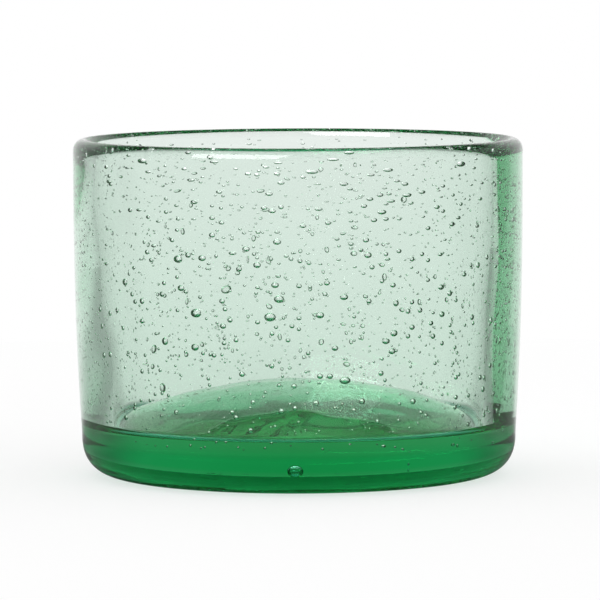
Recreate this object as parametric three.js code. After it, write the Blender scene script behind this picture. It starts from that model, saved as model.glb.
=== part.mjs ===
// Water tumbler blown from one gather of green glass: a low, wide cup with a rounded rim, a
// thick base and a rounded heel. Lengths are in millimetres and +Z is up. The origin is the
// centre of the flat ring that the tumbler stands on.
import * as THREE from 'three';

// Outside
const rimDiameter = 84;
const height = 63;
const drawIn = 2.0; // how far the wall comes in from the rim to the table, on the radius
const drawInPower = 2.6; // 1 is a straight taper, and more keeps the upper wall upright
const heelWidth = 8.85; // the rounded bottom edge, across
const heelHeight = 8.2; // and up
const heelSquareness = 2.58; // 2 is a plain ellipse, and more is fuller

// Wall thickness, which grows from the rim down to the base
const upperWall = 3.0;
const lowerWall = 5.6;

// Rounded rim: its crest stands nearer the bore than the outside
const crestFromBore = 0.9;
const rimOuterDrop = 2.2; // from the crest down to where the outer wall starts
const rimInnerDrop = 1.5; // from the crest down to where the bore starts

// Base: a domed floor inside, and a shallow hollow underneath, inside the standing ring
const baseThickness = 9.7; // under the floor's edge
const floorCornerRadius = 1.5;
const domeRise = 6.4; // how far the middle of the floor stands above its edge
const domePower = 2.7; // more makes the top flatter and its edge steeper
const hollowDiameter = 58;
const hollowDepth = 1.0;

// Facets
const sectors = 64;
const hollowSteps = 5;
const domeSteps = 9;
const wallSteps = 8;
const heelSteps = 8;
const rimSteps = 5;
const cornerSteps = 4;

const rimRadius = rimDiameter / 2;
const crestRadius = rimRadius - upperWall + crestFromBore;
const outerWallTop = height - rimOuterDrop;
const boreTop = height - rimInnerDrop;
const boreBottom = baseThickness + floorCornerRadius;

function outerRadius(z) {
  const share = Math.max(0, 1 - z / outerWallTop);
  return rimRadius - drawIn * share ** drawInPower;
}

function boreRadius(z) {
  const wall = THREE.MathUtils.mapLinear(z, boreBottom, boreTop, lowerWall, upperWall);
  return outerRadius(z) - wall;
}

// A quarter of an ellipse, without its first point, where the stretch before it ends
function quarterArc(centre, across, up, startDegrees, turn, steps, squareness = 2) {
  const fuller = (value) => Math.sign(value) * Math.abs(value) ** (2 / squareness);
  const points = [];
  for (let i = 1; i <= steps; i++) {
    const angle = THREE.MathUtils.degToRad(startDegrees + (turn * 90 * i) / steps);
    const r = centre.x + across * fuller(Math.cos(angle));
    points.push(new THREE.Vector2(r, centre.y + up * fuller(Math.sin(angle))));
  }
  return points;
}

// A stretch of wall from one height to another, without its first point
function wallStretch(radiusAt, fromZ, toZ) {
  const points = [];
  for (let i = 1; i <= wallSteps; i++) {
    const z = THREE.MathUtils.lerp(fromZ, toZ, i / wallSteps);
    points.push(new THREE.Vector2(radiusAt(z), z));
  }
  return points;
}

// The hollow underneath, from the axis out to the standing ring
function hollow() {
  const points = [];
  for (let i = 0; i <= hollowSteps; i++) {
    const share = i / hollowSteps;
    const lift = (hollowDepth * (1 + Math.cos(Math.PI * share))) / 2;
    points.push(new THREE.Vector2((hollowDiameter / 2) * share, lift));
  }
  return points;
}

// The floor of the cup, from its corner in to the axis, without its first point
function domedFloor(edgeRadius) {
  const points = [];
  for (let i = 1; i <= domeSteps; i++) {
    const share = 1 - i / domeSteps;
    const rise = domeRise * (1 - share ** domePower);
    points.push(new THREE.Vector2(edgeRadius * share, baseThickness + rise));
  }
  return points;
}

// Half of the section, from the axis underneath, round the outside and back to the axis
function glassSection() {
  const heel = new THREE.Vector2(outerRadius(heelHeight) - heelWidth, heelHeight);
  const rimOutside = new THREE.Vector2(crestRadius, outerWallTop);
  const rimInside = new THREE.Vector2(crestRadius, boreTop);
  const corner = new THREE.Vector2(boreRadius(boreBottom) - floorCornerRadius, boreBottom);
  return [
    ...hollow(),
    new THREE.Vector2(heel.x, 0),
    ...quarterArc(heel, heelWidth, heelHeight, -90, 1, heelSteps, heelSquareness),
    ...wallStretch(outerRadius, heelHeight, outerWallTop),
    ...quarterArc(rimOutside, rimRadius - crestRadius, rimOuterDrop, 0, 1, rimSteps),
    ...quarterArc(rimInside, crestFromBore, rimInnerDrop, 90, 1, rimSteps),
    ...wallStretch(boreRadius, boreTop, boreBottom),
    ...quarterArc(corner, floorCornerRadius, floorCornerRadius, 0, -1, cornerSteps),
    ...domedFloor(corner.x),
  ];
}

function makeGlassBody() {
  const glass = new THREE.MeshStandardMaterial({
    color: 0x4fb98a,
    roughness: 0.05,
    metalness: 0,
    transparent: true,
    opacity: 0.45,
  });
  const geometry = new THREE.LatheGeometry(glassSection(), sectors);
  geometry.rotateX(Math.PI / 2);
  const body = new THREE.Mesh(geometry, glass);
  body.name = 'glass_body';
  return body;
}

const tumbler = new THREE.Group();
tumbler.add(makeGlassBody());

export default tumbler;
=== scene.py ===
"""The looks of the water tumbler: clear green blown glass full of bubbles, on a pale floor."""
import math

import bpy
import bmesh
import numpy as np
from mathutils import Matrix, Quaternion, Vector


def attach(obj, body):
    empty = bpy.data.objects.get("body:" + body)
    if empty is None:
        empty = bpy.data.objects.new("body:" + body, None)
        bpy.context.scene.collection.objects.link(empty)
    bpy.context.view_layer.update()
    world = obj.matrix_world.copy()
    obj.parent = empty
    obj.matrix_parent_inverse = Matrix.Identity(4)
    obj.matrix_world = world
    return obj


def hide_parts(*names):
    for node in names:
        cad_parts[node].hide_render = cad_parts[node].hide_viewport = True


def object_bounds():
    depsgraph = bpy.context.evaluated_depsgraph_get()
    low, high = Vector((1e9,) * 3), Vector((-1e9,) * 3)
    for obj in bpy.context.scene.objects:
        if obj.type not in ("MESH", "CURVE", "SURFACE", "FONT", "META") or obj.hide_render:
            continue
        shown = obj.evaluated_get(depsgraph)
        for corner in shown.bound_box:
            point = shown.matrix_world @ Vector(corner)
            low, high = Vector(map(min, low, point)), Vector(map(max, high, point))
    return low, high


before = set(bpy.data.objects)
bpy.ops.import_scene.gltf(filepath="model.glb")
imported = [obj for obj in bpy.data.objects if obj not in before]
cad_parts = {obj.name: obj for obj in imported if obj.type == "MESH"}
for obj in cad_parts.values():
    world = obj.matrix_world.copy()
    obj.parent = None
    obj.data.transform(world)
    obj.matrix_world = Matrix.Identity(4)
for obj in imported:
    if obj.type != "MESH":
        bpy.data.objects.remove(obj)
cad_low, cad_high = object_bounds()

MM = 0.001
rng = np.random.default_rng(11)

# Outside of the glass, in millimetres. The first two come from the frame.
RIM_RADIUS = (cad_high.x - cad_low.x) / 2 / MM
HEIGHT = cad_high.z / MM
DRAW_IN = 2.0
DRAW_IN_POWER = 2.6
HEEL_WIDTH = 8.85
HEEL_HEIGHT = 8.2
HEEL_SQUARENESS = 2.58  # 2 is an ellipse

# Rounded rim
CREST_FROM_BORE = 0.9
RIM_OUTER_DROP = 2.2
RIM_INNER_DROP = 1.5

# Wall thickness, at the rim and at the base
UPPER_WALL = 2.8
LOWER_WALL = 5.4

# Base: a domed floor and a shallow hollow under it
BASE_THICKNESS = 9.7
CORNER_RADIUS = 1.5
DOME_RISE = 6.4
DOME_POWER = 2.7
HOLLOW_RADIUS = 29.0
HOLLOW_DEPTH = 1.0

# The bore isn't quite round, as in hand-blown glass: the wall swells on two sides. Each row is
# the angle from +X and the width of a swelling, in degrees, and how much it adds to the wall at
# the rim and at the base. The two wide ones keep the sides from growing as thick as the front.
WALL_SWELLS = [
    (8.0, 38.0, 0.5, -1.5),
    (-2.0, 19.0, 1.0, 1.75),
    (172.0, 38.0, 0.5, -1.45),
    (185.0, 19.0, 0.1, 1.2),
]

# How far under the crest a swelling starts and is at its full height
SWELL_START = 0.2
SWELL_FULL = 2.4

# Unevenness: how high the waves are on the bore, on the floor and under the base
BORE_WAVE = 0.05
FLOOR_WAVE = 0.045
HOLLOW_WAVE = 0.03

# Camera: the photograph's view, from in front and a little above the rim
CAMERA_DISTANCE = 976.0
CAMERA_ELEVATION = 4.456
CAMERA_AIM = 32.64
CAMERA_LENS = 312.8
CAMERA_ROLL = -0.196
SENSOR = 36.0
VIEW_SIZE = 600
VIEW_SHIFT = 1.619

OUTER_WALL_TOP = HEIGHT - RIM_OUTER_DROP
BORE_TOP = HEIGHT - RIM_INNER_DROP
CREST_RADIUS = RIM_RADIUS - UPPER_WALL + CREST_FROM_BORE
CORNER_TOP = BASE_THICKNESS + CORNER_RADIUS

SECTORS = 256
IOR = 1.5


# The section of the glass

def outer_radius(z):
    return RIM_RADIUS - DRAW_IN * max(0.0, 1 - z / OUTER_WALL_TOP) ** DRAW_IN_POWER


def bore_radius(z):
    down = (BORE_TOP - z) / (BORE_TOP - CORNER_TOP)
    return outer_radius(z) - UPPER_WALL - (LOWER_WALL - UPPER_WALL) * down


def bore_inset(angle, z):
    """How much thicker than the section the wall is at an angle and a height."""
    down = np.clip((BORE_TOP - z) / (BORE_TOP - CORNER_TOP), 0, 1)
    total = 0.0
    for side, width, at_rim, at_base in WALL_SWELLS:
        away = (np.degrees(angle) - side + 180) % 360 - 180
        total = total + (at_rim + (at_base - at_rim) * down) * np.exp(-(away / width) ** 2 / 2)
    return total * smoothstep(HEIGHT - SWELL_START, HEIGHT - SWELL_FULL, z)


def smoothstep(low, high, x):
    t = np.clip((x - low) / (high - low), 0, 1)
    return t * t * (3 - 2 * t)


def outside_at(z):
    """The radius of the outside at a height, with the heel and the rim."""
    if z > OUTER_WALL_TOP:
        share = min(1.0, (z - OUTER_WALL_TOP) / RIM_OUTER_DROP)
        return CREST_RADIUS + (RIM_RADIUS - CREST_RADIUS) * math.sqrt(1 - share ** 2)
    if z < HEEL_HEIGHT:
        share = 1 - max(z, 0.0) / HEEL_HEIGHT
        out = (1 - share ** HEEL_SQUARENESS) ** (1 / HEEL_SQUARENESS)
        return outer_radius(HEEL_HEIGHT) - HEEL_WIDTH * (1 - out)
    return outer_radius(z)


def inside_at(angle, z):
    """The radius of the bore on one side at a height, with the rim."""
    if z > BORE_TOP:
        share = min(1.0, (z - BORE_TOP) / RIM_INNER_DROP)
        return CREST_RADIUS - CREST_FROM_BORE * math.sqrt(1 - share ** 2)
    return bore_radius(z) - float(bore_inset(angle, z))


def arc(radius, z, across, up, start, turn, steps):
    """A stretch of an ellipse, without its first point. Angles are in degrees."""
    angles = np.radians(start + turn * np.arange(1, steps + 1) / steps)
    return [(radius + across * math.cos(a), z + up * math.sin(a)) for a in angles]


def outside_section():
    foot = outer_radius(HEEL_HEIGHT) - HEEL_WIDTH
    heel = []
    for angle in np.radians(np.linspace(0, 90, 33)[1:]):
        out = math.sin(angle) ** (2 / HEEL_SQUARENESS)
        up = 1 - max(0.0, math.cos(angle)) ** (2 / HEEL_SQUARENESS)
        heel.append((foot + HEEL_WIDTH * out, HEEL_HEIGHT * up))
    hollow = [
        (HOLLOW_RADIUS * s, HOLLOW_DEPTH * (1 + math.cos(math.pi * s)) / 2)
        for s in np.linspace(0, 1, 28)
    ]
    wall = [(outer_radius(z), z) for z in np.linspace(HEEL_HEIGHT, OUTER_WALL_TOP, 56)[1:]]
    rim_width = RIM_RADIUS - CREST_RADIUS
    return [
        *hollow,
        (foot, 0),
        *heel,
        *wall,
        *arc(CREST_RADIUS, OUTER_WALL_TOP, rim_width, RIM_OUTER_DROP, 0, 90, 16),
    ]


def inside_section():
    floor_radius = bore_radius(CORNER_TOP) - CORNER_RADIUS
    bore = [(bore_radius(z), z) for z in np.linspace(BORE_TOP, CORNER_TOP, 64)[1:]]
    shares = np.linspace(1, 0, 56)[1:]
    dome = [(floor_radius * s, BASE_THICKNESS + DOME_RISE * (1 - s ** DOME_POWER)) for s in shares]
    return [
        *arc(CREST_RADIUS, BORE_TOP, CREST_FROM_BORE, RIM_INNER_DROP, 90, 90, 12),
        *bore,
        *arc(floor_radius, CORNER_TOP, CORNER_RADIUS, CORNER_RADIUS, 0, -90, 16),
        *dome,
    ]


def waves(u, v, seed, count, shortest, longest):
    """Smooth unevenness over a surface: a sum of plane waves with lengths in millimetres."""
    maker = np.random.default_rng(seed)
    total = np.zeros_like(u)
    for _ in range(count):
        length = maker.uniform(shortest, longest)
        heading = maker.uniform(0, 2 * math.pi)
        phase = maker.uniform(0, 2 * math.pi)
        k = 2 * math.pi / length
        total += np.sin(k * (u * math.cos(heading) + v * math.sin(heading)) + phase)
    return total / math.sqrt(count)


def revolve(section, inside_from):
    """Turns the section round the axis and returns a mesh with its faces out."""
    section = np.array(section)
    rings = section[1:-1]
    angles = np.arange(SECTORS)[:, None] * 2 * math.pi / SECTORS
    r = rings[None, :, 0] * np.ones((SECTORS, 1))
    z = rings[None, :, 1] * np.ones((SECTORS, 1))
    inside = (np.arange(len(rings)) >= inside_from - 1)[None, :] * np.ones((SECTORS, 1))
    x, y = r * np.cos(angles), r * np.sin(angles)
    # The bore and the floor's edge follow the bore's form, and the wall is slightly wavy
    reach = np.clip(r / (RIM_RADIUS - LOWER_WALL - CORNER_RADIUS), 0, 1) ** 2
    wavy = BORE_WAVE * waves(x, y * 0.6 + z, 6, 6, 10, 24)
    wavy = wavy * smoothstep(HEIGHT - 0.5, HEIGHT - 6, z)
    inset = inside * reach * (bore_inset(angles, z) + wavy)
    x = x - inset * np.cos(angles)
    y = y - inset * np.sin(angles)
    # The floor is gently uneven, and so is the hollow underneath
    floor = inside * smoothstep(33, 27, r) * smoothstep(CORNER_TOP + 8, CORNER_TOP + 5, z)
    z = z + floor * FLOOR_WAVE * waves(x, y, 7, 8, 8, 22)
    under = (1 - inside) * smoothstep(HOLLOW_RADIUS, HOLLOW_RADIUS - 6, r) * (z < 4)
    z = z + under * HOLLOW_WAVE * waves(x, y, 8, 8, 6, 16)
    z = np.maximum(z, 0)
    points = np.stack([x, y, z], -1).reshape(-1, 3)
    points = np.concatenate([points, [(0, 0, section[0, 1]), (0, 0, section[-1, 1])]]) * MM
    n = len(rings)
    faces = []
    low, high = len(points) - 2, len(points) - 1
    for j in range(SECTORS):
        k = (j + 1) % SECTORS
        faces.append((low, k * n, j * n))
        faces.append((high, j * n + n - 1, k * n + n - 1))
        for i in range(n - 1):
            faces.append((j * n + i, k * n + i, k * n + i + 1, j * n + i + 1))
    return make_object("tumbler_glass", points, faces)


def make_object(name, points, faces):
    mesh = bpy.data.meshes.new(name)
    mesh.from_pydata([tuple(p) for p in points], [], faces)
    mesh.shade_smooth()
    piece = bpy.data.objects.new(name, mesh)
    bpy.context.scene.collection.objects.link(piece)
    return piece


# Where the camera stands, and what it sees at a place in its view

def camera_stand():
    """The camera's place in millimetres and its turn."""
    up = math.radians(CAMERA_ELEVATION)
    back = Vector((0, -math.cos(up), math.sin(up)))
    roll = Quaternion((0, 0, 1), math.radians(CAMERA_ROLL))
    place = Vector((0, 0, CAMERA_AIM)) + back * CAMERA_DISTANCE
    return place, (-back).to_track_quat("-Z", "Y") @ roll


def sight_line(column, row):
    place, turn = camera_stand()
    across = column - VIEW_SIZE / 2 + VIEW_SHIFT
    up = VIEW_SIZE / 2 - row
    heading = turn @ Vector((across, up, -CAMERA_LENS / SENSOR * VIEW_SIZE))
    return np.array(place), np.array(heading.normalized())


def wall_point(column, row, share, far=False):
    """A point in the near or the far wall: share is 0 at the outside and 1 at the bore."""
    start, heading = sight_line(column, row)
    radius = RIM_RADIUS
    for _ in range(5):
        a = heading[0] ** 2 + heading[1] ** 2
        b = start[0] * heading[0] + start[1] * heading[1]
        c = start[0] ** 2 + start[1] ** 2 - radius ** 2
        root = math.sqrt(max(b * b - a * c, 0.0))
        hit = start + heading * ((-b + root) / a if far else (-b - root) / a)
        angle = math.atan2(hit[1], hit[0])
        radius = outside_at(hit[2])
        if far:
            radius -= share * (radius - inside_at(angle, hit[2]))
    if far:
        return hit
    out = np.array([math.cos(angle), math.sin(angle), 0])
    facing = -heading @ out
    bent = heading / IOR + (facing / IOR - math.sqrt(1 - (1 - facing ** 2) / IOR ** 2)) * out
    depth = share * (radius - inside_at(angle, hit[2]))
    return hit + bent * depth / (-bent @ out)


# Bubbles: closed shells whose faces look into the air

def unit_ball(level):
    ball = bmesh.new()
    bmesh.ops.create_icosphere(ball, subdivisions=level, radius=1)
    points = np.array([v.co[:] for v in ball.verts])
    faces = np.array([[v.index for v in f.verts][::-1] for f in ball.faces])
    ball.free()
    return points, faces


def bubble_mesh(name, bubbles, level):
    """One mesh for many bubbles, each (centre, across, up, through) in millimetres."""
    ball, ball_faces = unit_ball(level)
    points, faces = [], []
    for i, (centre, across, up, through) in enumerate(bubbles):
        centre = np.array(centre)
        outward = np.array([centre[0], centre[1], 0])
        outward /= max(np.linalg.norm(outward), 1e-9)
        sideways = np.array([-outward[1], outward[0], 0])
        upward = np.array([0, 0, 1])
        frame_of = np.stack([sideways * across / 2, upward * up / 2, outward * through / 2])
        points.append(ball @ frame_of + centre)
        faces.append(ball_faces + i * len(ball))
    return make_object(name, np.concatenate(points) * MM, np.concatenate(faces).tolist())


# Bubbles of the near wall, placed one by one: column and row in the view, width and height in mm
NEAR_BUBBLES = [
    (111, 152, 1.3, 1.0), (86, 156, 1.1, 0.9), (142, 161, 2.2, 0.9), (128, 156, 0.9, 0.4),
    (94, 166, 0.8, 0.7), (106, 167, 1.1, 0.7), (109, 176, 1.1, 0.7), (148, 172, 1.3, 0.5),
    (159, 176, 0.9, 0.5), (165, 166, 0.7, 0.4), (132, 168, 0.7, 0.4), (184, 169, 1.1, 0.5),
    (130, 210, 1.1, 0.8), (120, 211, 0.7, 0.6), (166, 199, 0.9, 0.6), (166, 212, 0.9, 0.7),
    (148, 217, 0.9, 0.7), (178, 219, 0.9, 0.6), (177, 230, 0.9, 0.6), (172, 240, 1.0, 0.8),
    (144, 242, 0.7, 0.7), (147, 252, 1.0, 0.9), (159, 253, 0.7, 0.7), (178, 259, 1.8, 1.4),
    (188, 255, 1.2, 1.0), (151, 260, 0.9, 0.8), (188, 153, 1.2, 0.5), (191, 158, 1.1, 0.4),
    (191, 180, 1.6, 0.6), (214, 162, 1.7, 0.5), (278, 163, 1.6, 0.4), (248, 174, 1.2, 0.5),
    (257, 175, 1.0, 0.5), (259, 171, 0.7, 0.4), (277, 174, 1.2, 0.5), (281, 183, 1.3, 0.6),
    (219, 192, 1.2, 0.6), (223, 196, 0.7, 0.5), (194, 202, 1.4, 0.8), (269, 194, 1.4, 0.7),
    (212, 206, 0.8, 0.5), (221, 208, 0.8, 0.6), (264, 208, 1.2, 0.7), (272, 211, 1.4, 0.8),
    (281, 207, 1.0, 0.8), (212, 218, 1.1, 0.7), (231, 205, 0.7, 0.4), (242, 207, 0.7, 0.5),
    (240, 229, 0.7, 0.5), (244, 233, 0.8, 0.5), (258, 232, 1.0, 0.7), (303, 226, 1.2, 0.7),
    (212, 235, 1.2, 0.9), (217, 239, 0.7, 0.5), (232, 239, 0.7, 0.5), (246, 249, 1.4, 1.0),
    (277, 242, 1.5, 1.0), (202, 258, 1.5, 1.1), (216, 256, 0.7, 0.7), (254, 254, 0.8, 0.7),
    (257, 258, 0.7, 0.5), (271, 259, 0.8, 0.7), (291, 259, 0.9, 0.7), (300, 261, 0.9, 0.8),
    (257, 265, 1.4, 1.1), (239, 269, 1.1, 0.9), (312, 172, 2.3, 0.7), (349, 151, 1.9, 0.5),
    (333, 160, 2.2, 0.4), (388, 170, 2.0, 0.7), (371, 175, 1.4, 0.5), (344, 184, 1.6, 0.7),
    (310, 182, 1.2, 0.5), (397, 181, 1.2, 0.5), (405, 184, 1.4, 0.7), (380, 195, 1.3, 0.7),
    (389, 194, 1.1, 0.5), (407, 195, 1.9, 0.8), (422, 192, 1.5, 0.7), (350, 189, 1.1, 0.5),
    (370, 199, 1.3, 0.7), (364, 206, 1.2, 0.7), (382, 212, 1.7, 0.9), (386, 204, 1.0, 0.5),
    (411, 203, 1.1, 0.6), (350, 212, 0.9, 0.5), (374, 220, 1.2, 0.8), (386, 219, 1.1, 0.7),
    (351, 221, 0.9, 0.5), (328, 223, 1.1, 0.7), (428, 228, 1.1, 0.8), (337, 239, 0.9, 0.6),
    (366, 240, 1.2, 0.9), (351, 244, 1.0, 0.7), (361, 250, 0.9, 0.7), (339, 246, 0.7, 0.5),
    (368, 255, 1.4, 1.1), (377, 244, 0.7, 0.6), (386, 254, 0.9, 0.8), (399, 251, 1.0, 0.8),
    (422, 254, 0.9, 0.8), (412, 259, 1.0, 0.9), (372, 267, 1.0, 0.9), (309, 263, 0.9, 0.7),
    (471, 152, 1.6, 0.7), (494, 152, 1.4, 0.7), (461, 164, 2.2, 1.0), (474, 168, 1.1, 0.5),
    (443, 186, 1.0, 0.6), (482, 183, 1.1, 0.5), (453, 195, 0.9, 0.6), (495, 185, 0.9, 0.6),
    (437, 207, 1.3, 0.7), (443, 211, 1.0, 0.7), (461, 204, 0.9, 0.7), (452, 224, 1.3, 0.9),
    (428, 260, 0.9, 0.8), (487, 257, 0.9, 1.0), (471, 265, 0.8, 0.9), (478, 265, 1.1, 1.1),
    (125, 282, 1.3, 1.3), (114, 275, 0.6, 0.6), (129, 274, 0.7, 0.7), (164, 283, 0.9, 0.8),
    (181, 288, 1.4, 1.1), (162, 294, 1.1, 1.0), (132, 294, 0.9, 0.9), (142, 301, 1.1, 1.1),
    (117, 310, 0.9, 1.0), (110, 313, 1.0, 1.0), (100, 309, 0.9, 1.0), (102, 326, 0.9, 1.0),
    (142, 321, 1.0, 0.9), (123, 328, 0.8, 0.8), (196, 313, 2.1, 1.6), (165, 341, 1.3, 1.4),
    (195, 347, 1.5, 1.3), (145, 355, 0.7, 0.7), (142, 371, 0.8, 0.9), (160, 370, 0.7, 0.7),
    (155, 394, 0.7, 0.7), (162, 393, 0.7, 0.7), (176, 412, 0.9, 0.9), (126, 417, 1.0, 1.0),
    (141, 400, 0.7, 0.7), (150, 400, 0.7, 0.7), (177, 277, 0.8, 0.7), (275, 285, 1.4, 1.1),
    (279, 299, 1.8, 1.4), (270, 317, 2.1, 1.6), (299, 286, 1.0, 0.8), (327, 283, 1.1, 0.9),
    (325, 294, 0.9, 0.8), (312, 299, 0.8, 0.6), (320, 315, 1.5, 1.2), (299, 318, 0.9, 0.8),
    (223, 326, 1.2, 1.0), (292, 326, 0.9, 0.8), (276, 327, 0.8, 0.7), (236, 340, 0.9, 0.8),
    (224, 343, 0.9, 0.8), (225, 348, 0.6, 0.5), (288, 340, 0.9, 0.8), (203, 353, 0.8, 0.8),
    (214, 355, 0.9, 0.9), (211, 360, 1.2, 1.1), (242, 374, 1.1, 1.0), (279, 385, 0.8, 0.7),
    (294, 386, 1.0, 0.9), (320, 376, 1.1, 1.0), (253, 402, 0.9, 0.9), (316, 403, 1.1, 1.1),
    (295, 408, 0.9, 0.9), (232, 412, 0.9, 0.8), (236, 417, 0.9, 0.8), (222, 301, 1.1, 0.9),
    (225, 309, 0.9, 0.8), (200, 297, 0.8, 0.7), (267, 365, 0.7, 0.6), (344, 297, 1.5, 1.1),
    (396, 303, 1.1, 1.2), (408, 311, 1.0, 1.0), (420, 310, 1.0, 1.0), (441, 287, 1.4, 1.0),
    (442, 314, 1.2, 1.1), (394, 333, 1.4, 1.2), (386, 341, 1.5, 1.1), (392, 351, 1.4, 1.1),
    (412, 327, 1.1, 1.0), (431, 323, 1.0, 0.9), (433, 336, 1.0, 1.0), (408, 336, 0.9, 0.9),
    (335, 348, 1.2, 1.0), (330, 376, 1.1, 1.0), (345, 380, 2.0, 1.4), (381, 373, 1.0, 1.0),
    (362, 401, 1.1, 1.1), (413, 401, 1.1, 1.1), (354, 410, 0.9, 0.8), (385, 380, 0.7, 0.7),
    (442, 343, 0.8, 0.9), (412, 302, 0.9, 0.9), (393, 285, 1.1, 0.9), (382, 281, 0.9, 0.8),
    (369, 301, 1.0, 0.9), (428, 280, 0.9, 0.7), (421, 383, 0.8, 0.7), (421, 412, 0.8, 0.7),
    (426, 415, 0.8, 0.7), (472, 317, 1.1, 1.1), (491, 320, 1.1, 1.2), (500, 340, 0.7, 0.9),
    (490, 365, 1.0, 1.0), (484, 377, 0.9, 0.9), (483, 389, 1.0, 1.1), (456, 397, 0.9, 0.9),
    (455, 407, 0.9, 0.9), (456, 377, 0.9, 0.9), (459, 374, 0.7, 0.8), (453, 363, 0.7, 0.7),
    (456, 300, 0.8, 0.8), (450, 325, 0.8, 0.8), (451, 332, 0.8, 0.8), (473, 323, 0.8, 0.8),
    (455, 347, 0.8, 0.8), (435, 363, 0.8, 0.7), (497, 410, 0.8, 1.1), (484, 415, 0.9, 0.7),
    (468, 424, 0.9, 0.9),
]

# Fainter ones of the far wall
FAR_BUBBLES = [
    (178, 240, 0.9, 1.3), (186, 215, 0.9, 0.9), (138, 238, 0.9, 0.7), (161, 236, 0.7, 0.9),
    (260, 200, 1.6, 0.7), (382, 161, 2.0, 0.5), (357, 262, 1.1, 0.9), (320, 227, 1.2, 1.1),
    (312, 245, 1.2, 0.9), (333, 260, 1.2, 1.2), (254, 246, 1.3, 1.4), (410, 209, 1.1, 1.2),
    (178, 309, 1.1, 1.5), (147, 356, 1.4, 1.8), (156, 394, 1.5, 1.7), (180, 364, 1.1, 0.9),
    (222, 277, 1.1, 1.2), (233, 283, 1.4, 0.9), (247, 269, 0.7, 1.7), (223, 299, 2.0, 1.7),
    (368, 334, 1.2, 0.9), (344, 333, 1.4, 0.7), (356, 334, 1.1, 0.7), (427, 309, 1.2, 1.3),
    (405, 318, 1.4, 0.9), (385, 273, 1.4, 0.8), (388, 285, 1.1, 1.5), (346, 374, 1.7, 1.0),
    (323, 352, 0.9, 1.3), (317, 324, 1.9, 0.8), (276, 344, 0.8, 1.4), (302, 359, 0.9, 0.9),
    (307, 366, 0.9, 0.9), (295, 366, 0.8, 0.8), (353, 351, 1.1, 1.1), (367, 346, 1.0, 1.2),
    (508, 344, 1.0, 1.4), (257, 342, 0.8, 0.8), (230, 357, 0.8, 0.9), (288, 377, 1.1, 0.7),
]

# Bubbles of the base near the outside, and how deep they lie
BASE_BUBBLES = [
    (295, 471, 2.9, 1.9, 4.0), (185, 446, 0.5, 0.5, 3.0), (189, 440, 0.5, 0.5, 3.0),
    (200, 448, 0.5, 0.5, 3.0), (196, 449, 0.4, 0.4, 3.0), (212, 443, 0.5, 0.5, 3.0),
    (222, 443, 0.5, 0.5, 3.0), (235, 448, 0.5, 0.5, 3.0), (263, 449, 0.5, 0.5, 3.0),
    (270, 444, 0.5, 0.5, 3.0), (324, 450, 0.5, 0.5, 3.0), (353, 445, 0.5, 0.4, 3.0),
    (388, 447, 0.9, 0.6, 3.0), (400, 448, 0.5, 0.5, 3.0), (408, 450, 0.6, 0.5, 3.0),
    (464, 446, 0.5, 0.7, 3.0), (149, 446, 0.4, 0.4, 3.0), (161, 447, 0.4, 0.4, 3.0),
    (478, 440, 0.4, 0.4, 3.0), (414, 464, 0.4, 0.5, 3.0), (414, 469, 0.4, 0.5, 3.0),
]

# Small bubbles are scattered. They are flatter towards the rim, where the glass was drawn out.
SMALL_BUBBLES_IN_WALL = 3200
SMALL_BUBBLES_IN_BASE = 150
WALL_BUBBLE_SIZE = 0.35
BASE_BUBBLE_SIZE = 0.36
SIZE_SPREAD = 0.42
SMALLEST_BUBBLE = 0.2
ROUND_BELOW = 26
FLATTEST_ABOVE = 60
BASE_BUBBLES_WITHIN = 34

# Bubbles keep clear of the surface, of the crest and of each other
BUBBLE_SKIN = 0.12
CREST_CLEARANCE = 0.9
BUBBLE_GAP = 0.08
BUBBLE_DEPTH = 0.65  # how deep a bubble of the wall is, as a share of its size
WALL_SHARE = 0.85  # and how much of the wall it may fill

# Each piece of bubbles: its name, the sizes in it, in millimetres, and how fine its mesh is
BUBBLE_PIECES = [
    ("bubbles_large", 0.8, 9.0, 3),
    ("bubbles_medium", 0.5, 0.8, 2),
    ("bubbles_small", 0.0, 0.5, 2),
]


def fitted(point, across, up):
    """A bubble at a point of the wall, made thin enough for the glass there."""
    angle = math.atan2(point[1], point[0])
    z = min(float(point[2]), HEIGHT - CREST_CLEARANCE - up / 2)
    outer = min(outside_at(z - up / 2), outside_at(z + up / 2)) - BUBBLE_SKIN
    inner = max(inside_at(angle, z - up / 2), inside_at(angle, z + up / 2)) + BUBBLE_SKIN
    through = min(BUBBLE_DEPTH * math.sqrt(across * up), (outer - inner) * WALL_SHARE)
    r = float(np.clip(math.hypot(point[0], point[1]), inner + through / 2, outer - through / 2))
    return (r * math.cos(angle), r * math.sin(angle), z), across, up, through


def drawn_size(middle, largest):
    size = middle * math.exp(SIZE_SPREAD * rng.normal())
    return float(np.clip(size, SMALLEST_BUBBLE, largest))


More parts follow.
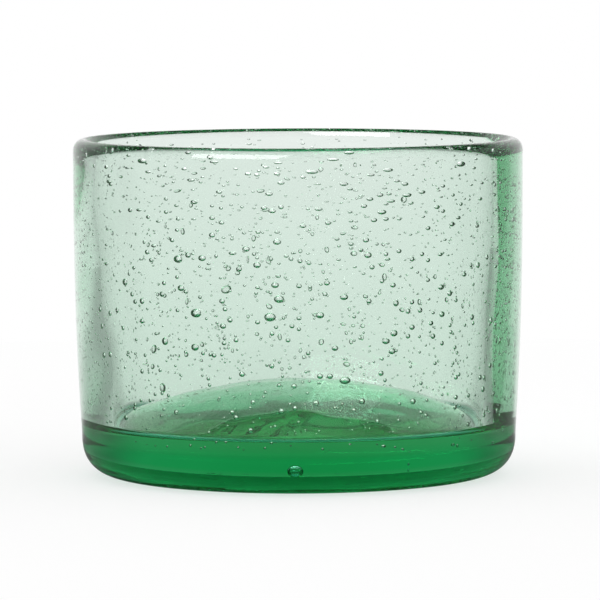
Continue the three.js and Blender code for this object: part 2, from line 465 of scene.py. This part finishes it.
def all_bubbles():
    """Every bubble as (centre, across, up, through). One that would touch another is left out."""
    found = []
    centres, sizes = [], []

    def place(bubble):
        centre, across, up, through = bubble
        size = max(across, up, through)
        if centres:
            gap = np.linalg.norm(np.array(centres) - np.array(centre), axis=1)
            if np.any(gap < (np.array(sizes) + size) / 2 + BUBBLE_GAP):
                return
        centres.append(centre)
        sizes.append(size)
        found.append(bubble)

    for column, row, across, up in NEAR_BUBBLES:
        place(fitted(wall_point(column, row, rng.uniform(0.35, 0.75)), across, up))
    for column, row, across, up in FAR_BUBBLES:
        place(fitted(wall_point(column, row, rng.uniform(0.3, 0.7), far=True), across, up))
    for column, row, across, up, depth in BASE_BUBBLES:
        point = wall_point(column, row, 0)
        inward = 1 - depth / math.hypot(point[0], point[1])
        place(((point[0] * inward, point[1] * inward, point[2]), across, up, math.sqrt(across * up)))
    for _ in range(SMALL_BUBBLES_IN_WALL):
        z = rng.uniform(CORNER_TOP, HEIGHT - 1.6)
        angle = rng.uniform(-math.pi, math.pi)
        size = drawn_size(WALL_BUBBLE_SIZE, 1.1)
        flat = 1 + float(smoothstep(ROUND_BELOW, FLATTEST_ABOVE, z)) * rng.uniform(0.6, 2.2)
        across, up = size * math.sqrt(flat), size / math.sqrt(flat)
        outer, inner = outside_at(z), inside_at(angle, z)
        r = rng.uniform(inner, outer)
        place(fitted((r * math.cos(angle), r * math.sin(angle), z), across, up))
    for _ in range(SMALL_BUBBLES_IN_BASE):
        r = BASE_BUBBLES_WITHIN * math.sqrt(rng.uniform())
        angle = rng.uniform(-math.pi, math.pi)
        size = drawn_size(BASE_BUBBLE_SIZE, 0.9)
        depth = rng.uniform(0.6, 3.2) + size / 2
        floor = BASE_THICKNESS + DOME_RISE * (1 - (r / BASE_BUBBLES_WITHIN) ** DOME_POWER)
        place(((r * math.cos(angle), r * math.sin(angle), floor - depth), size, size * 0.9, size))
    return found


# Materials

# Share of the light that the glass takes per millimetre, in red, green and blue
LOST_PER_MM = np.array([0.040, 0.0165, 0.031])

# The thick base and the floor of the cup get a deeper green than the wall, both in what is seen
# through them and in what their surface mirrors: partly a deeper green of the glass, and partly
# painted shade on the reflections there, which lose most of their red. The tint fades out between
# two heights, and between two distances from the axis.
BASE_TINT_AND_REFLECTION_SHADE = (0.15, 1.0, 0.70)
TINT_BELOW = 7.0
CLEAR_ABOVE = 9.5
TINT_WITHIN = 26.0
CLEAR_BEYOND = 34.0
FLOOR_TINT_SHARE = 0.8


def clear_shader(name):
    material = bpy.data.materials.new(name)
    material.use_nodes = True
    shader = material.node_tree.nodes["Principled BSDF"]
    shader.inputs["Base Color"].default_value = (1, 1, 1, 1)
    shader.inputs["Roughness"].default_value = 0.0
    shader.inputs["IOR"].default_value = IOR
    shader.inputs["Transmission Weight"].default_value = 1.0
    return material


def glass_material():
    material = clear_shader("green_glass")
    nodes, links = material.node_tree.nodes, material.node_tree.links

    def clear_share(measure, tinted, clear, least):
        node = nodes.new("ShaderNodeMapRange")
        links.new(measure, node.inputs["Value"])
        node.inputs["From Min"].default_value = tinted * MM
        node.inputs["From Max"].default_value = clear * MM
        node.inputs["To Min"].default_value = least
        return node.outputs[0]

    place = nodes.new("ShaderNodeTexCoord").outputs["Object"]
    split = nodes.new("ShaderNodeSeparateXYZ")
    links.new(place, split.inputs[0])
    level = nodes.new("ShaderNodeVectorMath")
    level.operation = "MULTIPLY"
    links.new(place, level.inputs[0])
    level.inputs[1].default_value = (1, 1, 0)
    radius = nodes.new("ShaderNodeVectorMath")
    radius.operation = "LENGTH"
    links.new(level.outputs[0], radius.inputs[0])
    share = nodes.new("ShaderNodeMath")
    share.operation = "MINIMUM"
    links.new(clear_share(split.outputs["Z"], TINT_BELOW, CLEAR_ABOVE, 0), share.inputs[0])
    in_cup = clear_share(radius.outputs["Value"], TINT_WITHIN, CLEAR_BEYOND, 1 - FLOOR_TINT_SHARE)
    links.new(in_cup, share.inputs[1])
    tint = nodes.new("ShaderNodeMix")
    tint.data_type = "RGBA"
    links.new(share.outputs[0], tint.inputs[0])
    # The mix node's colour sockets come after those for numbers and vectors
    tint.inputs[6].default_value = (*BASE_TINT_AND_REFLECTION_SHADE, 1)
    tint.inputs[7].default_value = (1, 1, 1, 1)
    # The tint also colours the reflections on the base: painted shade on them, besides a deeper green
    # seen through it
    for socket in ("Specular Tint", "Base Color"):
        links.new(tint.outputs[2], nodes["Principled BSDF"].inputs[socket])
    volume = nodes.new("ShaderNodeVolumeAbsorption")
    density = LOST_PER_MM.max()
    volume.inputs["Density"].default_value = density / MM
    volume.inputs["Color"].default_value = (*(1 - LOST_PER_MM / density), 1)
    links.new(volume.outputs["Volume"], nodes["Material Output"].inputs["Volume"])
    return material


def make_glass():
    outside, inside = outside_section(), inside_section()
    glass = revolve(outside + inside, len(outside))
    glass.data.materials.append(glass_material())
    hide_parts("glass_body")
    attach(glass, "root")
    surface = clear_shader("bubble_surface")
    bubbles = all_bubbles()
    for name, above, up_to, level in BUBBLE_PIECES:
        members = [b for b in bubbles if above < max(b[1:]) <= up_to]
        piece = bubble_mesh(name, members, level)
        piece.data.materials.append(surface)
        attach(piece, "root")


# Stage, light and camera

class Wiring:
    """Short calls for building a node tree."""

    def __init__(self, owner):
        owner.use_nodes = True
        self.tree = owner.node_tree
        self.tree.nodes.clear()

    def add(self, kind, *inputs):
        node = self.tree.nodes.new(kind)
        for socket, value in zip(node.inputs, inputs):
            self.put(value, socket)
        return node

    def put(self, value, socket):
        if isinstance(value, bpy.types.NodeSocket):
            self.tree.links.new(value, socket)
        elif value is not None:
            socket.default_value = value

    def math(self, operation, *inputs):
        node = self.add("ShaderNodeMath", *inputs)
        node.operation = operation
        return node.outputs[0]

    def profile(self, source, stops):
        """A value that follows straight lines between (place, level) stops."""
        low, high = stops[0][0], stops[-1][0]
        share = self.add("ShaderNodeMapRange", source, float(low), float(high)).outputs[0]
        node = self.tree.nodes.new("ShaderNodeFloatCurve")
        curve = node.mapping.curves[0]
        node.mapping.clip_max_y = 10
        while len(curve.points) < len(stops):
            curve.points.new(0.5, 0.5)
        for point, (place, level) in zip(curve.points, stops):
            point.location = ((place - low) / (high - low), level)
        for point in curve.points:
            point.handle_type = "VECTOR"
        node.mapping.update()
        self.tree.links.new(share, node.inputs["Value"])
        return node.outputs[0]

    def blend(self, share, without, within):
        node = self.tree.nodes.new("ShaderNodeMix")
        node.data_type = "FLOAT"
        for value, place in ((share, 0), (without, 2), (within, 3)):
            self.put(value, node.inputs[place])
        return node.outputs[0]


# Floor. Its share of glow keeps it white to the camera and, seen in the glass, beyond a ring round
# the tumbler; inside the ring the glass shows it without glow, a painted shadow added to the real
# one. The profiles are (place, level) stops, and places on the floor are in metres.
FLOOR_RADIUS = 300.0
FLOOR_DROP = 0.05  # under the tumbler, so that the two faces don't meet
FLOOR_COLOUR = 0.86
FLOOR_GLOW = 1.1
FLOOR_GLOW_SEEN = 0.6
# No glow in the glass within 45 mm of the axis, rising to full by 90 mm: a painted shadow round the
# tumbler
FLOOR_GLOW_AND_PAINTED_SHADOW_IN_GLASS = [(0, 0.0), (0.045, 0.0), (0.09, 0.4), (0.3, 0.4)]
# The floor's level where the glass mirrors it, by y in metres: darker on the camera's side, painted
# shade
FLOOR_MIRRORED_PAINTED_SHADE = [(-0.3, 0.2), (-0.02, 0.2), (0.1, 1), (0.3, 1)]

# The plain light that the floor is lit by
PLAIN_LEVEL = 0.97

# What the glass shows of the studio: how bright it is at each bearing in degrees, where 0 is
# straight behind and positive is to the right, with a grey board standing behind each side,
# and then at each elevation behind the glass and on the camera's side
BEARING_LEVELS = [
    (-180, 1.0), (-120, 1.0), (-90, 0.9), (-75, 0.8), (-62, 0.5), (-48, 0.5), (-34, 0.9), (-20, 1.0),
    (20, 1.0), (34, 0.9), (48, 0.45), (62, 0.45), (75, 0.8), (90, 0.9), (120, 1.0), (180, 1.0),
]
BEHIND_LEVELS = [(-90, 0.95), (0, 0.95), (27, 0.95), (38, 0.7), (48, 0.9), (56, 1.7), (90, 1.7)]
AHEAD_LEVELS = [(-90, 0.8), (-12, 0.75), (10, 0.45), (40, 0.4), (60, 0.5), (90, 1.1)]

# The boards end at this elevation, and the side behind takes over from the camera's side at
# this share of the way back
BOARD_FADE = [(-90, 1), (0, 1), (30, 0.3), (60, 0), (90, 0)]
BEHIND_SHARE = [(-1, 0), (-0.2, 0), (0.2, 1), (1, 1)]

# How much of the studio the surface of the glass mirrors, from ahead to behind and by elevation
MIRRORED_BACK = [(-1, 0.3), (-0.2, 0.3), (0.5, 1), (1, 1)]
MIRRORED_UP = [(-90, 1), (24, 1), (34, 0.12), (90, 0.12)]

# Softbox behind the camera's left: its size and distance in metres, its angles in degrees
SOFTBOX_SIZE = (0.8, 0.6)
SOFTBOX_LEVEL = 6.0
SOFTBOX_DISTANCE = 1.0
SOFTBOX_BEARING = -147.0
SOFTBOX_ELEVATION = 32.0


def make_floor():
    bpy.ops.mesh.primitive_circle_add(
        vertices=128, radius=FLOOR_RADIUS * MM, fill_type="TRIFAN", location=(0, 0, -FLOOR_DROP * MM))
    floor = bpy.context.object
    floor.name = "floor"
    material = bpy.data.materials.new("pale_floor")
    wiring = Wiring(material)
    path = wiring.add("ShaderNodeLightPath").outputs
    in_glass = wiring.math("MAXIMUM", path["Is Glossy Ray"], path["Is Transmission Ray"])
    place = wiring.add("ShaderNodeTexCoord").outputs["Object"]
    x, y, _ = wiring.add("ShaderNodeSeparateXYZ", place).outputs
    squares = [wiring.math("MULTIPLY", side, side) for side in (x, y)]
    radius = wiring.math("SQRT", wiring.math("ADD", *squares))
    share = wiring.math(
        "ADD",
        wiring.math("MULTIPLY", path["Is Camera Ray"], FLOOR_GLOW_SEEN),
        wiring.math("MULTIPLY", in_glass, wiring.profile(radius, FLOOR_GLOW_AND_PAINTED_SHADOW_IN_GLASS)))
    colour = (FLOOR_COLOUR, FLOOR_COLOUR, FLOOR_COLOUR, 1)
    diffuse = wiring.add("ShaderNodeBsdfDiffuse", colour).outputs[0]
    glow = wiring.add("ShaderNodeEmission", (1, 1, 1, 1), FLOOR_GLOW).outputs[0]
    lit = wiring.add("ShaderNodeMixShader", share, diffuse, glow).outputs[0]
    # The glass shows the boards on the floor too, and the floor's near part is darkened where the
    # glass mirrors it: painted shade on that reflection
    mirrored = wiring.profile(y, FLOOR_MIRRORED_PAINTED_SHADE)
    bearing = wiring.math("MULTIPLY", wiring.math("ARCTAN2", x, y), 180 / math.pi)
    around = wiring.profile(bearing, BEARING_LEVELS)
    kept = wiring.math("MULTIPLY", around, wiring.blend(path["Is Reflection Ray"], 1.0, mirrored))
    lost = wiring.math("MULTIPLY", in_glass, wiring.math("SUBTRACT", 1.0, kept))
    dark = wiring.add("ShaderNodeEmission", (0, 0, 0, 1), 0.0).outputs[0]
    both = wiring.add("ShaderNodeMixShader", lost, lit, dark).outputs[0]
    wiring.add("ShaderNodeOutputMaterial", both)
    floor.data.materials.append(material)


def make_world():
    """White for the camera, a plain light for the floor and a studio for the glass to show."""
    world = bpy.data.worlds.new("studio")
    bpy.context.scene.world = world
    wiring = Wiring(world)
    direction = wiring.add("ShaderNodeTexCoord").outputs["Generated"]
    x, y, z = wiring.add("ShaderNodeSeparateXYZ", direction).outputs
    degrees = 180 / math.pi
    elevation = wiring.math("MULTIPLY", wiring.math("ARCSINE", z), degrees)
    bearing = wiring.math("MULTIPLY", wiring.math("ARCTAN2", x, y), degrees)
    upright = wiring.blend(
        wiring.profile(y, BEHIND_SHARE),
        wiring.profile(elevation, AHEAD_LEVELS),
        wiring.profile(elevation, BEHIND_LEVELS))
    fade = wiring.profile(elevation, BOARD_FADE)
    around = wiring.blend(fade, 1.0, wiring.profile(bearing, BEARING_LEVELS))
    studio = wiring.math("MULTIPLY", upright, around)
    path = wiring.add("ShaderNodeLightPath").outputs
    in_glass = wiring.math("MAXIMUM", path["Is Glossy Ray"], path["Is Transmission Ray"])
    mirrored = wiring.math(
        "MULTIPLY", wiring.profile(y, MIRRORED_BACK), wiring.profile(elevation, MIRRORED_UP))
    dimmed = wiring.math("MULTIPLY", studio, mirrored)
    studio = wiring.blend(path["Is Reflection Ray"], studio, dimmed)
    level = wiring.blend(in_glass, PLAIN_LEVEL, studio)
    level = wiring.blend(path["Is Camera Ray"], level, 1.0)
    background = wiring.add("ShaderNodeBackground", (1, 1, 1, 1), level).outputs[0]
    wiring.add("ShaderNodeOutputWorld", background)


def make_softbox():
    """A soft light for the highlights on the rim. The plain light lights the floor."""
    light = bpy.data.lights.new("softbox", "AREA")
    light.shape = "RECTANGLE"
    light.size, light.size_y = SOFTBOX_SIZE
    light.energy = SOFTBOX_LEVEL * math.pi * SOFTBOX_SIZE[0] * SOFTBOX_SIZE[1]
    holder = bpy.data.objects.new("softbox", light)
    bpy.context.scene.collection.objects.link(holder)
    bearing, up = math.radians(SOFTBOX_BEARING), math.radians(SOFTBOX_ELEVATION)
    toward = Vector((math.cos(up) * math.sin(bearing), math.cos(up) * math.cos(bearing), math.sin(up)))
    middle = Vector((0, 0, HEIGHT / 2 * MM))
    holder.location = middle + toward * SOFTBOX_DISTANCE
    holder.rotation_mode = "QUATERNION"
    holder.rotation_quaternion = (-toward).to_track_quat("-Z", "Y")
    holder.visible_camera = False
    holder.visible_diffuse = False


def make_camera():
    camera = bpy.data.cameras.new("camera")
    holder = bpy.data.objects.new("camera", camera)
    bpy.context.scene.collection.objects.link(holder)
    place, turn = camera_stand()
    holder.location = place * MM
    holder.rotation_mode = "QUATERNION"
    holder.rotation_quaternion = turn
    camera.sensor_width = SENSOR
    camera.lens = CAMERA_LENS
    camera.shift_x = VIEW_SHIFT / VIEW_SIZE
    camera.clip_start = 0.01
    bpy.context.scene.camera = holder


def set_render():
    scene = bpy.context.scene
    scene.view_settings.view_transform = "Standard"
    scene.cycles.max_bounces = 40
    scene.cycles.transmission_bounces = 40
    scene.cycles.glossy_bounces = 24
    scene.cycles.diffuse_bounces = 3
    scene.cycles.use_denoising = True


make_glass()
make_floor()
make_world()
make_softbox()
make_camera()
set_render()
